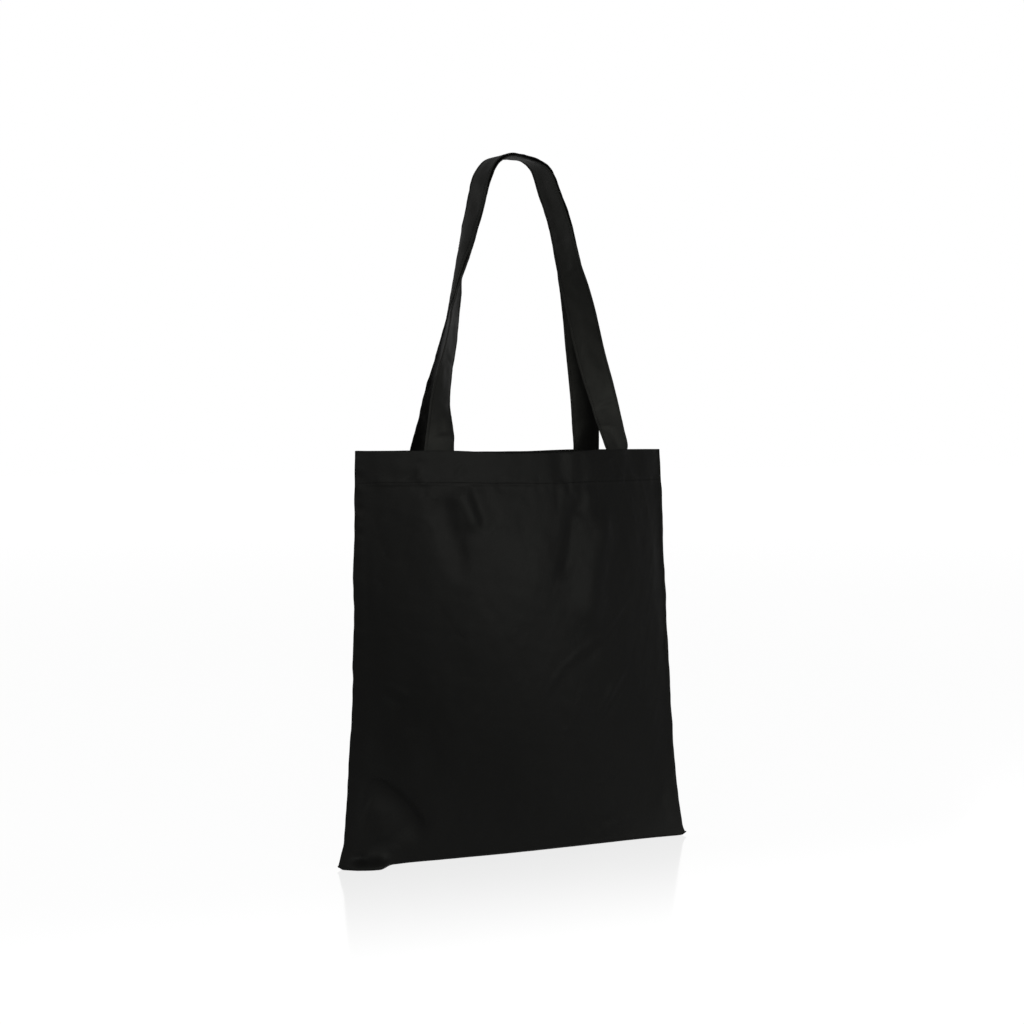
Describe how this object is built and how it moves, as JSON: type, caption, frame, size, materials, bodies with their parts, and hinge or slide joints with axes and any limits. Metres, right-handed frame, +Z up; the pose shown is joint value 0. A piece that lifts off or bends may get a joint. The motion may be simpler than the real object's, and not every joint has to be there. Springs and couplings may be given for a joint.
{
  "type": "foldable tote bag",
  "caption": "Flat, thin-fabric tote bag with a hemmed open mouth and long carrying loops, standing open; the loops swing down, the front opens and the bottom folds up.",
  "frame": {"origin": "on the floor under the middle of the bottom seam, at the centre of the bounding box's bottom face", "axes": "+Z up from the bottom seam to the carrying loops, +X along the mean width of the bag towards its right side seam, -Y out of the front panel"},
  "size_m": [0.3762, 0.094, 0.7177],
  "materials": {
    "panel_fabric": "thin plain-weave polyester taffeta, black, soft low sheen",
    "strap_fabric": "the same polyester folded to a strap, black, soft sheen",
    "thread": "black spun polyester sewing thread"
  },
  "bodies": {
    "bag": {"back_panel_upper": "panel_fabric", "left_side_seam_upper": "panel_fabric", "right_side_seam_upper": "panel_fabric", "left_overlock_thread_upper": "thread", "right_overlock_thread_upper": "thread", "back_hem": "panel_fabric", "back_hem_stitching": "thread", "back_strap_ends": "strap_fabric", "back_tack_stitching": "thread"},
    "front": {"front_panel_upper": "panel_fabric", "front_hem": "panel_fabric", "front_hem_stitching": "thread", "front_strap_ends": "strap_fabric", "front_tack_stitching": "thread"},
    "base": {"front_panel_lower": "panel_fabric", "back_panel_lower": "panel_fabric", "left_side_seam_lower": "panel_fabric", "right_side_seam_lower": "panel_fabric", "left_overlock_thread_lower": "thread", "right_overlock_thread_lower": "thread", "bottom_seam": "panel_fabric", "bottom_overlock_thread": "thread"},
    "front_handle": {"front_handle_strap": "strap_fabric", "front_handle_stitching": "thread"},
    "back_handle": {"back_handle_strap": "strap_fabric", "back_handle_stitching": "thread"}
  },
  "joints": [
    {"name": "mouth_open", "type": "hinge", "parent": "bag", "child": "front", "pos_m": [0.00567, -0.04161, 0.1052], "axis": [0.9908, 0.135, 0], "range_deg": [0, 12]},
    {"name": "bottom_fold", "type": "hinge", "parent": "bag", "child": "base", "pos_m": [0.00247, 0.03742, 0.1052], "axis": [0.9978, -0.0658, 0], "range_deg": [0, 165]},
    {"name": "front_handle_swing", "type": "hinge", "parent": "front", "child": "front_handle", "pos_m": [0.00365, -0.02675, 0.4215], "axis": [0.9908, 0.135, 0], "range_deg": [0, 150]},
    {"name": "back_handle_swing", "type": "hinge", "parent": "bag", "child": "back_handle", "pos_m": [-0.00365, 0.02675, 0.4215], "axis": [-0.9908, -0.135, 0], "range_deg": [0, 150]}
  ]
}
